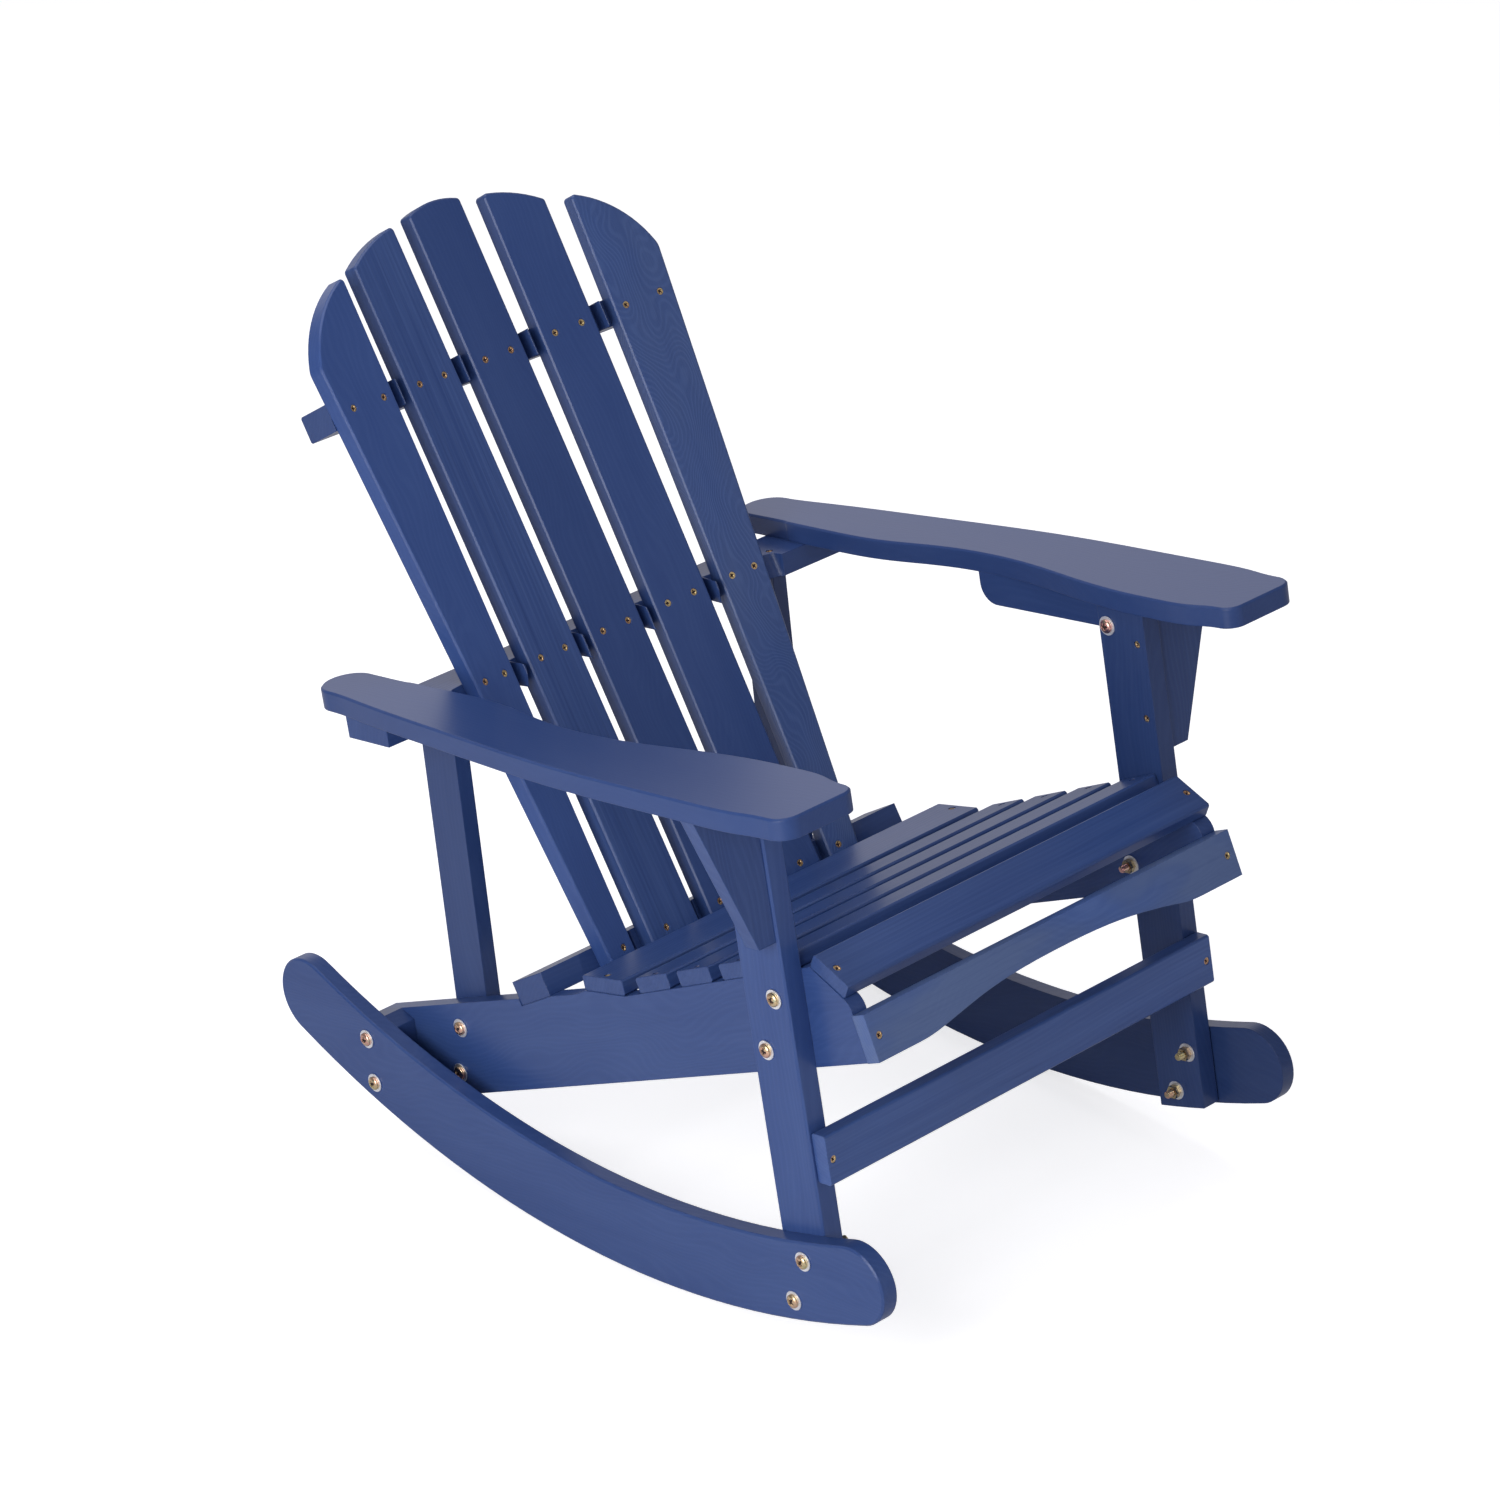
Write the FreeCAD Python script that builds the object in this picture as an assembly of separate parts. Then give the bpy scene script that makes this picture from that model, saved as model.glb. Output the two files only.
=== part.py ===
import FreeCAD, Part
import math
import os

# A wooden rocking lawn chair with a fanned back, wide arms and two curved rockers.
# Lengths are millimetres. The chair faces -Y, +X is the sitter's left and +Z is up.
# The frame is drawn with the front legs upright and Y = 0 on their front faces. It is then
# leaned back about the centre of the rockers' lower arc to the angle where its weight hangs
# below that centre, which is how it comes to rest on a floor, and set down on Z = 0.

# Boards
board = 19.0
leg_thick = 24.0
arm_thick = 22.0
seat_thick = 17.0
back_thick = 19.0
ease = 2.0

# Rockers: a lower arc that rolls on the floor, an upper arc, and round ends that join the two.
# The ends lie at these angles about the lower arc's centre, counted rearward from straight down.
rocker_outer_x = 303.5
rocker_radius = 1142.7
rocker_centre_y = 212.5
rocker_centre_z = 1138.6
rocker_top_radius = 1150.5
rocker_top_centre_y = 187.0
rocker_top_centre_z = 1240.0
rocker_front_deg = -14.07
rocker_rear_deg = 31.39
spacer_front_y = 655.0

# Front legs, stretcher and arms
leg_width = 64.0
foot_lift = 3.0
stretcher_inset = 4.5
stretcher_low_z = 162.0
stretcher_height = 54.0

# Arms: the plan of one arm, from above, as points on its smooth inner and outer edges between
# the rounded front corners and the half-round rear tip
arm_under_z = 578.0
arm_front_y = -125.0
arm_inner_corner = 18.0
arm_outer_corner = 22.0
arm_tip_radius = 30.0
arm_tip_x = 300.5
arm_tip_y = 606.0
arm_inner_front_x = 262.0
arm_inner_run = [
    (255.5, -72), (253.5, -25), (254.5, 10), (258, 50), (265.5, 100), (275, 150), (282, 200), (284.5, 245),
    (283, 290), (277, 335), (268.5, 385), (265.5, 430), (266.5, 480), (268.5, 540),
]
arm_outer_front_x = 361.5
arm_outer_run = [
    (334.5, 560), (343.5, 485), (351.5, 400), (361, 300), (368, 190), (369, 100), (368.5, 0),
    (366, -60),
]

# Side rails, with the seat line given where it crosses the rail's own landmarks
rail_deg = 15.66
rail_base_z = 279.2
rail_nose_y = -79.5
nose_bulge = 1.5
trim_step = 0.5
apron_height = 50.0
crest_y = -12.0
crest_z = 389.5
seat_slope = 0.32
seat_back_y = 284.4
seat_heel_y = 348.3
seat_heel_slope = 0.111
tail_hump_y = 365.3
hump_slope = 0.4623
tail_slope = 0.2645
tail_y = 709.7
front_slat_deg = 29.3

# Seat slats: the first lies this far in front of the rear slat, the last this far behind the
# crest, and the rest spread evenly between
slat_gap = 1.0
slat_width = 53.0
slat_first = 27.0
slat_last = 17.006
middle_slats = 4
front_slat_width = 51.0

# Apron: its lower edge rises from two flat ends along a smooth arch, as (across, up)
apron_overhang = 1.5
apron_thick = 18.0
apron_rise = [
    (-205, 0), (-165, 4.3), (-110, 13.9), (-50, 19.1), (0, 20), (50, 19.1), (110, 13.9),
    (165, 4.3), (205, 0),
]

# Rear posts and the beam that carries the arms
post_width = 53.0
post_top_y = 523.0
post_slope = 0.0676
beam_half = 330.0
beam_front_y = 515.0
beam_width = 66.0
beam_thick = 25.0
beam_notch_half = 233.0
beam_notch_corner = 12.0

# Back, measured from the middle slat's face: along the slats from the beam screws, and behind
back_deg = 23.2
back_y = 528.3
back_z = 572.5
back_low = -332.0
back_crown = 494.0
crown_corner = 5.0
crown_shoulder = 20.0
top_rail_low = 299.0
top_rail_thick = 30.0
top_rail_front = -12.0
top_rail_rear = 43.0
top_rail_half = 236.0
lower_rail_low = -327.0
lower_rail_thick = 27.0
lower_rail_front = 11.0
lower_rail_rear = 66.0
notch_clearance = 0.3

# The fan of slats wraps forward at its sides. From the middle slat outward, each slat has its
# edges at the foot and at the crown, how far its face stands forward, the turn of its outer
# edge toward the sitter and its own forward tilt, both in degrees. The top of each slat is an
# arc with its own centre, across and along, and its own radius.
slat_foot = [(-35.6, 35.6), (51.8, 123.1), (140.7, 179.3)]
slat_crown = [(-35.6, 35.6), (62.7, 134.0), (160.6, 249.9)]
slat_forward = [0.0, 3.95, 11.6]
slat_turn_deg = [0.0, 4.5, 8.2]
slat_tilt_deg = [0.0, 0.27, 1.4]
crown_arc_centre = [(0.0, 394.0), (38.6, 317.3), (110.8, 322.6)]
crown_arc_radius = [98.0, 165.0, 134.0]

# Arm brackets and cleats
bracket_setback = 3.0
bracket_low_z = 422.0
bracket_low_width = 22.5
bracket_top_width = 80.0
cleat_height = 35.0
cleat_rear_y = 261.0
cleat_corner = 22.0

# Bolts, washers, nuts and screws
bolt_dia = 8.0
bolt_head_dia = 15.0
bolt_head_height = 4.5
bolt_crown_share = 0.55
bolt_tail = 8.0
washer_dia = 21.0
washer_thick = 1.6
nut_flats = 13.0
nut_height = 6.5
hole_clearance = 0.4
thread_clearance = 0.1
screw_dia = 4.0
screw_head_dia = 7.6
screw_head_height = 2.4
screw_recess = 0.8
screw_clearance = 0.2
head_sides = 8
shank_sides = 6
screw_length = 42.0
seat_screw_length = 32.0
bracket_screw_length = 36.0
beam_screw_length = 60.0

# Bolt centres on one side, as (y, z)
rocker_leg_bolts = [(14.4, 81.5), (37.7, 32.1)]
leg_rail_bolts = [(19.0, 358.4), (42.4, 298.5)]
spacer_bolts = [(686.8, 175.7), (686.8, 123.7)]
rail_post_bolts = [(573.4, 196.3), (587.1, 141.0)]
arm_bolt = (52.0, 557.0)

# Screw places: heights up the arm brackets, depths on the beam, and for each slat of the back
# the distances of its screws either side of its middle, from the middle slat outward
bracket_screw_z = [460.5, 542.0]
beam_screw_y = [537.0, 562.0]
beam_screw_inset = 6.5
top_rail_spread = [(-18, 18), (-18, 18), (-24, 21.5)]
beam_spread = [(-18, 18), (-18, 18), (-15, 15)]
lower_rail_spread = [(-18, 18), (10,), (-5,)]

WOOD_DENSITY = 0.6
STEEL_DENSITY = 7.85

# Planes worked out from the driving sizes
arc_centre = FreeCAD.Vector(0, rocker_centre_y, rocker_centre_z)
top_arc_centre = FreeCAD.Vector(0, rocker_top_centre_y, rocker_top_centre_z)
rocker_inner_x = rocker_outer_x - board
leg_inner_x = rocker_inner_x - leg_thick
rail_inner_x = leg_inner_x - board
post_inner_x = rail_inner_x - board
slat_half = leg_inner_x - slat_gap
apron_half = leg_inner_x + apron_overhang
stretcher_half = rocker_inner_x - stretcher_inset
foot_radius = rocker_radius - foot_lift
beam_low_z = arm_under_z - beam_thick
rail_tan = math.tan(math.radians(rail_deg))
seat_back_z = crest_z - seat_slope * (seat_back_y - crest_y)
seat_run = math.hypot(seat_back_y - crest_y, seat_back_z - crest_z)
slat_pitch = (seat_run - slat_first - slat_last - slat_width) / (middle_slats - 1)
seat_heel_z = seat_back_z - seat_heel_slope * (seat_heel_y - seat_back_y)
tail_hump_z = seat_heel_z - hump_slope * (tail_hump_y - seat_heel_y)
tail_z = tail_hump_z - tail_slope * (tail_y - tail_hump_y)

pieces = {}
cutters = {}


def vec(x, y, z):
    return FreeCAD.Vector(x, y, z)


def side_point(y, z):
    return vec(0, y, z)


def line(a, b):
    return Part.makeLine(a, b)


def arc(a, through, b):
    return Part.Arc(a, through, b).toShape()


def smooth_curve(points, end_direction):
    """A curve through the points that leaves the first and reaches the last in one direction."""
    curve = Part.BSplineCurve()
    curve.interpolate(Points=points, InitialTangent=end_direction, FinalTangent=end_direction)
    return curve.toShape()


def polygon(points):
    return Part.Face(Part.makePolygon(points + [points[0]]))


def slab(face, direction):
    return face.extrude(direction)


def plate(face, x_low, thickness=board):
    """A board standing in the side plane, from x_low to x_low + thickness."""
    solid = slab(face, vec(thickness, 0, 0))
    solid.translate(vec(x_low, 0, 0))
    return solid


def mirrored(shape):
    return shape.mirror(vec(0, 0, 0), vec(1, 0, 0))


def is_along(edge, direction):
    """True for a straight edge that runs along the given direction."""
    if edge.Curve.TypeId != "Part::GeomLine":
        return False
    return edge.Curve.Direction.cross(direction).Length < 1e-6


def ease_long_edges(solid, direction):
    edges = [e for e in solid.Edges if is_along(e, direction)]
    return solid.makeChamfer(ease, edges)


def ease_outline(solid, outward):
    """Takes the sharp edge off all round the flat face that looks the given way."""
    edges = []
    for face in solid.Faces:
        if face.Surface.TypeId == "Part::GeomPlane" and face.normalAt(0, 0).dot(outward) > 0.999:
            edges += face.Edges
    return solid.makeChamfer(ease, edges)


def add_piece(name, shape):
    pieces[name] = [shape]
    cutters.setdefault(name, [])


def add_pair(name, shape):
    add_piece(name + "_left", shape)
    add_piece(name + "_right", mirrored(shape))


def cut_from(names, tool):
    for name in names:
        cutters[name].append(tool)


def foot_point(y):
    """A point on the arc, just above the rockers' lower edge, where legs and rails end."""
    return side_point(y, rocker_centre_z - math.sqrt(foot_radius ** 2 - (y - rocker_centre_y) ** 2))


def foot_arc(y_start, y_end):
    return arc(foot_point(y_start), foot_point((y_start + y_end) / 2), foot_point(y_end))


def rail_bottom(y):
    return rail_base_z - rail_tan * y


def back_point(x, along, behind):
    """A point in the back's own plane: across, up along the slats, and behind their faces."""
    lean = math.radians(back_deg)
    y = back_y + along * math.sin(lean) + behind * math.cos(lean)
    z = back_z + along * math.cos(lean) - behind * math.sin(lean)
    return vec(x, y, z)


back_up = back_point(0, 1, 0) - back_point(0, 0, 0)


def share_along(along):
    return (along - back_low) / (back_crown - back_low)


def slat_edges(rank, along):
    """Both edges of a slat of the fan at a height, counted outward from the middle slat."""
    share = share_along(along)
    return [low + (high - low) * share for low, high in zip(slat_foot[rank], slat_crown[rank])]


def slat_middle(rank, along):
    return sum(slat_edges(rank, along)) / 2


def slat_placement(rank):
    """Puts a shape drawn flat, with X across, Y up and Z toward the sitter, in a slat's place."""
    turn = FreeCAD.Rotation(back_up, -slat_turn_deg[rank])
    across = turn.multVec(vec(1, 0, 0))
    tilt = FreeCAD.Rotation(across, slat_tilt_deg[rank])
    up = tilt.multVec(back_up)
    rotation = FreeCAD.Rotation(across, up, across.cross(up), "ZXY")
    return FreeCAD.Placement(back_point(slat_middle(rank, 0), 0, -slat_forward[rank]), rotation)


def slat_point(rank, x, along, forward=0):
    """A point near a slat's face, from its own middle line at the beam screws."""
    return slat_placement(rank).multVec(vec(x - slat_middle(rank, 0), along, forward))


# Rockers, legs and rails

def rocker_end(degrees):
    """The round end of a rocker that touches both arcs: its start, its tip and its finish."""
    angle = math.radians(degrees)
    down = vec(0, math.sin(angle), -math.cos(angle))
    offset = top_arc_centre - arc_centre
    lean_in = offset.dot(down)
    top_squared = rocker_top_radius ** 2
    excess = rocker_radius ** 2 - top_squared - 2 * rocker_radius * lean_in + offset.Length ** 2
    radius = excess / (2 * (rocker_radius + rocker_top_radius - lean_in))
    centre = arc_centre + down * (rocker_radius - radius)
    low = centre + down * radius
    outward = vec(0, math.copysign(math.cos(angle), angle), math.copysign(math.sin(angle), angle))
    tip = centre + outward * radius
    high = centre + (top_arc_centre - centre).normalize() * radius
    return low, tip, high


def rocker_face():
    front_low, front_tip, front_high = rocker_end(rocker_front_deg)
    rear_low, rear_tip, rear_high = rocker_end(rocker_rear_deg)
    lowest = arc_centre + vec(0, 0, -rocker_radius)
    top_lowest = top_arc_centre + vec(0, 0, -rocker_top_radius)
    edges = [
        arc(front_low, lowest, rear_low),
        arc(rear_low, rear_tip, rear_high),
        arc(rear_high, top_lowest, front_high),
        arc(front_high, front_tip, front_low),
    ]
    return Part.Face(Part.Wire(edges))


def leg_face():
    front_top = side_point(0, arm_under_z)
    rear_top = side_point(leg_width, arm_under_z)
    edges = [
        foot_arc(0, leg_width),
        line(foot_point(leg_width), rear_top),
        line(rear_top, front_top),
        line(front_top, foot_point(0)),
    ]
    return Part.Face(Part.Wire(edges))


def apron_frame():
    """Lower rear corner of the apron, and the directions up along it and out of its face."""
    angle = math.radians(rail_deg)
    corner = side_point(rail_nose_y, rail_bottom(rail_nose_y))
    up = vec(0, math.sin(angle), math.cos(angle))
    out = vec(0, -math.cos(angle), math.sin(angle))
    return corner, up, out


def rail_face():
    """Side rail: the seat's two slopes on top, square nose, tail trimmed to the rocker arc."""
    corner, up, out = apron_frame()
    nose_top = corner + up * apron_height
    facet = math.radians(front_slat_deg)
    crest = side_point(crest_y, crest_z)
    facet_end = crest + vec(0, -math.cos(facet), -math.sin(facet)) * front_slat_width
    nose_middle = (nose_top + facet_end) * 0.5 + (out + up) * nose_bulge
    trim_y = tail_y
    while foot_point(trim_y).z > rail_bottom(trim_y):
        trim_y -= trim_step
    top = [
        facet_end,
        crest,
        side_point(seat_back_y, seat_back_z),
        side_point(seat_heel_y, seat_heel_z),
        side_point(tail_hump_y, tail_hump_z),
        side_point(tail_y, tail_z),
    ]
    if trim_y < tail_y:
        top += [foot_point(tail_y)]
    edges = [line(corner, nose_top), arc(nose_top, nose_middle, facet_end)]
    edges += [line(a, b) for a, b in zip(top, top[1:])]
    if trim_y < tail_y:
        edges += [foot_arc(tail_y, trim_y), line(foot_point(trim_y), corner)]
    else:
        tail_low = side_point(tail_y, rail_bottom(tail_y))
        edges += [line(top[-1], tail_low), line(tail_low, corner)]
    return Part.Face(Part.Wire(edges))


def post_face():
    def corner(y_top, slope_run):
        z = (rail_base_z - rail_tan * (y_top + slope_run * beam_low_z)) / (1 - rail_tan * slope_run)
        return side_point(y_top + slope_run * (beam_low_z - z), z)

    rear_top_y = post_top_y + post_width
    return polygon([
        side_point(post_top_y, beam_low_z),
        side_point(rear_top_y, beam_low_z),
        corner(rear_top_y, post_slope),
        corner(post_top_y, post_slope),
    ])


def build_side_frame():
    outward = vec(1, 0, 0)
    rocker = plate(rocker_face(), rocker_inner_x)
    rail = plate(rail_face(), rail_inner_x)
    add_pair("rocker", ease_outline(rocker, outward))
    leg = plate(leg_face(), leg_inner_x, leg_thick)
    add_pair("front_leg", ease_outline(leg, outward))
    add_pair("side_rail", rail)
    add_pair("rear_post", plate(post_face(), post_inner_x))
    keep = Part.makeBox(leg_thick, tail_y, rocker_radius, vec(leg_inner_x, spacer_front_y, 0))
    spacer = plate(rocker_face(), leg_inner_x, leg_thick)
    spacer = spacer.common(plate(rail_face(), leg_inner_x, leg_thick))
    add_pair("rear_spacer", spacer.common(keep))


# Seat

def seat_board(corner, along, width, thickness, half_length=slat_half):
    """A slat lying on the side rails: its lower corner, the way its width runs, its thickness."""
    normal = vec(0, -along.z, along.y)
    if normal.z < 0:
        normal = normal * -1
    section = [corner, corner + along * width, corner + along * width + normal * thickness]
    section.append(corner + normal * thickness)
    face = polygon([p + vec(-half_length, 0, 0) for p in section])
    solid = slab(face, vec(2 * half_length, 0, 0))
    return ease_long_edges(solid, vec(1, 0, 0))


def build_seat():
    back_corner = side_point(seat_back_y, seat_back_z)
    heel_corner = side_point(seat_heel_y, seat_heel_z)
    crest = side_point(crest_y, crest_z)
    forward = (crest - back_corner).normalize()
    heel_run = back_corner - heel_corner
    heel_width = heel_run.Length
    add_piece("seat_slat_rear", seat_board(heel_corner, heel_run.normalize(), heel_width, seat_thick))
    for index in range(middle_slats):
        corner = back_corner + forward * (slat_first + index * slat_pitch)
        add_piece("seat_slat_%d" % (index + 2), seat_board(corner, forward, slat_width, seat_thick))
    facet = math.radians(front_slat_deg)
    down = vec(0, -math.cos(facet), -math.sin(facet))
    add_piece("seat_slat_front", seat_board(crest, down, front_slat_width, seat_thick))


def build_apron():
    """Front apron whose lower edge rises in a shallow arch between two flat ends."""
    corner, up, out = apron_frame()
    arch = [corner + vec(x, 0, 0) + up * rise for x, rise in apron_rise]
    low_left = corner + vec(-apron_half, 0, 0)
    low_right = corner + vec(apron_half, 0, 0)
    top_left = low_left + up * apron_height
    top_right = low_right + up * apron_height
    edges = [
        line(low_left, arch[0]),
        smooth_curve(arch, vec(1, 0, 0)),
        line(arch[-1], low_right),
        line(low_right, top_right),
        line(top_right, top_left),
        line(top_left, low_left),
    ]
    apron = slab(Part.Face(Part.Wire(edges)), out * apron_thick)
    add_piece("front_apron", apron)


def build_stretcher():
    box = Part.makeBox(
        2 * stretcher_half, board, stretcher_height, vec(-stretcher_half, -board, stretcher_low_z)
    )
    add_piece("front_stretcher", ease_long_edges(box, vec(1, 0, 0)))


# Back

def back_block(half, low, high, front, rear):
    """A block square to the back: half its length, its reach along the slats and behind them."""
    section = [
        back_point(-half, low, front),
        back_point(-half, high, front),
        back_point(-half, high, rear),
        back_point(-half, low, rear),
    ]
    return slab(polygon(section), vec(2 * half, 0, 0))


def flat_point(rank, x, along):
    return vec(x - slat_middle(rank, 0), along, 0)


def back_slat(rank):
    """One slat of the fan, tapered from foot to crown and cut at the top by its crown arc."""
    foot = slat_foot[rank]
    crown = slat_crown[rank]
    outline = polygon([
        flat_point(rank, foot[0], back_low),
        flat_point(rank, foot[1], back_low),
        flat_point(rank, crown[1], back_crown),
        flat_point(rank, crown[0], back_crown),
    ])
    into_board = vec(0, 0, -back_thick)
    radius = crown_arc_radius[rank]
    crown_centre = flat_point(rank, *crown_arc_centre[rank])
    disc = Part.makeCylinder(radius, back_thick, crown_centre, into_board)
    skirt_corner = vec(crown_centre.x - radius, back_low, -back_thick)
    skirt = Part.makeBox(2 * radius, crown_centre.y - back_low, back_thick, skirt_corner)
    slat = slab(outline, into_board).common(disc.fuse(skirt)).removeSplitter()
    outer_corner = crown_shoulder if rank == len(slat_foot) - 1 else crown_corner
    for radius, end in ((crown_corner, 0), (outer_corner, -1)):
        corners = [e for e in slat.Edges if is_along(e, into_board) and e.CenterOfMass.y > 0]
        corners.sort(key=lambda e: e.CenterOfMass.x)
        slat = slat.makeFillet(radius, [corners[end]])
    slat = ease_outline(slat, vec(0, 0, 1))
    slat.Placement = slat_placement(rank)
    return slat


def slat_seat(rank, low, high, inner_x, outer_x, corner_radius=0):
    """The room a slat needs in a rail: all that lies in front of its rear face."""
    width = outer_x - inner_x
    reach = back_thick + beam_width
    corner = flat_point(rank, inner_x, low) + vec(0, 0, -back_thick)
    room = Part.makeBox(width, high - low, reach, corner)
    if corner_radius:
        outer_edge = corner + vec(width, (high - low) / 2, 0)
        edges = [e for e in room.Edges if (e.CenterOfMass - outer_edge).Length < 1e-3]
        room = room.makeFillet(corner_radius, edges)
    room.Placement = slat_placement(rank)
    return room


def slat_seats(low, high, outer_x, corner_radius=0):
    """The rooms of all five slats, each reaching half-way to its neighbours."""
    along = (low + high) / 2
    edges = [slat_edges(rank, along) for rank in range(len(slat_foot))]
    between = [(a[1] + b[0]) / 2 for a, b in zip(edges, edges[1:])]
    inner = [-between[0]] + between
    outer = between + [outer_x]
    last = len(edges) - 1
    seats = []
    for rank in range(len(edges)):
        radius = corner_radius if rank == last else 0
        seat = slat_seat(rank, low, high, inner[rank], outer[rank], radius)
        seats.append(seat)
        if rank:
            seats.append(mirrored(seat))
    return seats


def build_back():
    last = len(slat_foot) - 1
    fan = [mirrored(back_slat(rank)) for rank in range(last, 0, -1)]
    fan += [back_slat(rank) for rank in range(last + 1)]
    for index, slat in enumerate(fan):
        add_piece("back_slat_%d" % (index + 1), slat)
    top_high = top_rail_low + top_rail_thick
    top_rail = back_block(top_rail_half, top_rail_low, top_high, top_rail_front, top_rail_rear)
    seats = slat_seats(top_rail_low - ease, top_high + ease, 2 * top_rail_half)
    add_piece("top_back_rail", ease_long_edges(top_rail, vec(1, 0, 0)).cut(seats))
    lower_high = lower_rail_low + lower_rail_thick
    lower_rail = back_block(
        slat_half, lower_rail_low, lower_high, lower_rail_front, lower_rail_rear
    )
    seats = slat_seats(lower_rail_low - ease, lower_high + ease, slat_half)
    add_piece("lower_back_rail", lower_rail.cut(seats))
    slack_front = lower_rail_front - notch_clearance
    slack_rear = lower_rail_rear + notch_clearance
    notch = back_block(leg_inner_x, lower_rail_low, lower_high, slack_front, slack_rear)
    cut_from(["side_rail_left", "side_rail_right"], notch)


def build_beam():
    """Beam under the arms, notched at the front so that the slats lie flat against it."""
    corner = vec(-beam_half, beam_front_y, beam_low_z)
    beam = Part.makeBox(2 * beam_half, beam_width, beam_thick, corner)
    seats = slat_seats(-beam_width, beam_width, beam_notch_half, beam_notch_corner)
    add_piece("arm_cross_beam", beam.cut(seats))


# Arms and what holds them up

def arm_outline():
    inner = [(arm_inner_front_x, arm_front_y + arm_inner_corner)] + arm_inner_run
    inner.append((arm_tip_x - arm_tip_radius, arm_tip_y))
    outer = [(arm_tip_x + arm_tip_radius, arm_tip_y)] + arm_outer_run
    outer.append((arm_outer_front_x, arm_front_y + arm_outer_corner))
    inner_curve = smooth_curve([vec(x, y, arm_under_z) for x, y in inner], vec(0, 1, 0))
    outer_curve = smooth_curve([vec(x, y, arm_under_z) for x, y in outer], vec(0, -1, 0))
    tip = vec(arm_tip_x, arm_tip_y + arm_tip_radius, arm_under_z)
    inner_start = vec(*inner[0], arm_under_z)
    outer_end = vec(*outer[-1], arm_under_z)
    front_inner = inner_start + vec(arm_inner_corner, -arm_inner_corner, 0)
    front_outer = outer_end + vec(-arm_outer_corner, -arm_outer_corner, 0)
    bow = 1 - math.sqrt(0.5)
    inner_bend = inner_start + vec(bow * arm_inner_corner, -(1 - bow) * arm_inner_corner, 0)
    outer_bend = outer_end + vec(-bow * arm_outer_corner, -(1 - bow) * arm_outer_corner, 0)
    edges = [
        inner_curve,
        arc(vec(*inner[-1], arm_under_z), tip, vec(*outer[0], arm_under_z)),
        outer_curve,
        arc(outer_end, outer_bend, front_outer),
        line(front_outer, front_inner),
        arc(front_inner, inner_bend, inner_start),
    ]
    return Part.Face(Part.Wire(edges))


def build_arms():
    arm = slab(arm_outline(), vec(0, 0, arm_thick))
    add_pair("arm", ease_outline(arm, vec(0, 0, 1)))


def build_arm_supports():
    outer_low = rocker_inner_x + bracket_low_width
    outer_top = rocker_inner_x + bracket_top_width
    bracket = polygon([
        vec(rocker_inner_x, bracket_setback, bracket_low_z),
        vec(outer_low, bracket_setback, bracket_low_z),
        vec(outer_top, bracket_setback, arm_under_z),
        vec(rocker_inner_x, bracket_setback, arm_under_z),
    ])
    add_pair("arm_bracket", slab(bracket, vec(0, board, 0)))
    cleat_front = bracket_setback + board
    low = arm_under_z - cleat_height
    bend = cleat_corner * (1 - math.sqrt(0.5))
    start = side_point(cleat_front, low)
    curve_start = side_point(cleat_rear_y - cleat_corner, low)
    curve_middle = side_point(cleat_rear_y - bend, low + bend)
    curve_end = side_point(cleat_rear_y, low + cleat_corner)
    rear_top = side_point(cleat_rear_y, arm_under_z)
    front_top = side_point(cleat_front, arm_under_z)
    edges = [
        line(start, curve_start),
        arc(curve_start, curve_middle, curve_end),
        line(curve_end, rear_top),
        line(rear_top, front_top),
        line(front_top, start),
    ]
    add_pair("arm_cleat", plate(Part.Face(Part.Wire(edges)), rocker_inner_x))


# Fasteners

def stand_at(solid, origin, way):
    """Stands a solid built upward from the origin at a point, pointing the given way."""
    solid.Placement = FreeCAD.Placement(origin, FreeCAD.Rotation(vec(0, 0, 1), way))
    return solid


def ring_points(flats, sides, height):
    """Corners of a regular polygon whose flat sides are the given distance across."""
    reach = flats / 2 / math.cos(math.pi / sides)
    turns = [2 * math.pi * (step + 0.5) / sides for step in range(sides)]
    return [vec(reach * math.cos(turn), reach * math.sin(turn), height) for turn in turns]


def prism(flats, sides, low, high):
    return slab(polygon(ring_points(flats, sides, low)), vec(0, 0, high - low))


def taper(low_flats, high_flats, sides, low, high):
    rings = [
        Part.makePolygon(points + [points[0]])
        for points in (ring_points(low_flats, sides, low), ring_points(high_flats, sides, high))
    ]
    return Part.makeLoft(rings, True, True)


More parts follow.
